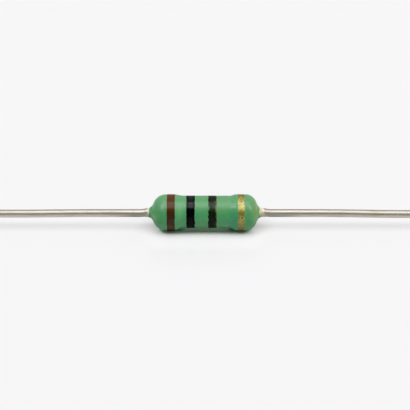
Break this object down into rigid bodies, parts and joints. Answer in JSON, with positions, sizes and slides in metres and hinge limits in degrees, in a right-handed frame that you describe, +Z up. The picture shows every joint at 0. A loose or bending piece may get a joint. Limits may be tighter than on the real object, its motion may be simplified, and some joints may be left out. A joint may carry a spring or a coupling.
{
  "type": "wirewound resistor",
  "caption": "Axial wirewound resistor with a green coated body, colour bands and stiff tinned leads.",
  "frame": {"origin": "middle of the body on the axis of the leads", "axes": "+X along the leads towards the gold band, +Z up as it lies on a table"},
  "size_m": [0.0674, 0.0036, 0.0036],
  "materials": {
    "green_coat": "semi-gloss cured lacquer",
    "cream_undercoat": "satin resin",
    "brown_paint": "semi-gloss paint",
    "black_paint": "semi-gloss paint",
    "black_over_brown_paint": "semi-gloss paint",
    "gold_paint": "metallic flake paint",
    "tinned_wire": "dull bright tin, drawn lengthways",
    "ceramic": "unglazed",
    "tinned_steel": "tinned, drawn",
    "nickel_chromium": "bare drawn wire"
  },
  "bodies": {
    "root": {"ceramic_core": "ceramic", "resistance_wire": "nickel_chromium", "end_cap_left": "tinned_steel", "end_cap_right": "tinned_steel", "lead_left": "tinned_wire", "lead_right": "tinned_wire", "undercoat": "cream_undercoat", "top_coat": "green_coat", "band_brown": "brown_paint", "band_black_first": "black_paint", "band_black_second": "black_over_brown_paint", "band_gold": "gold_paint"}
  },
  "joints": []
}
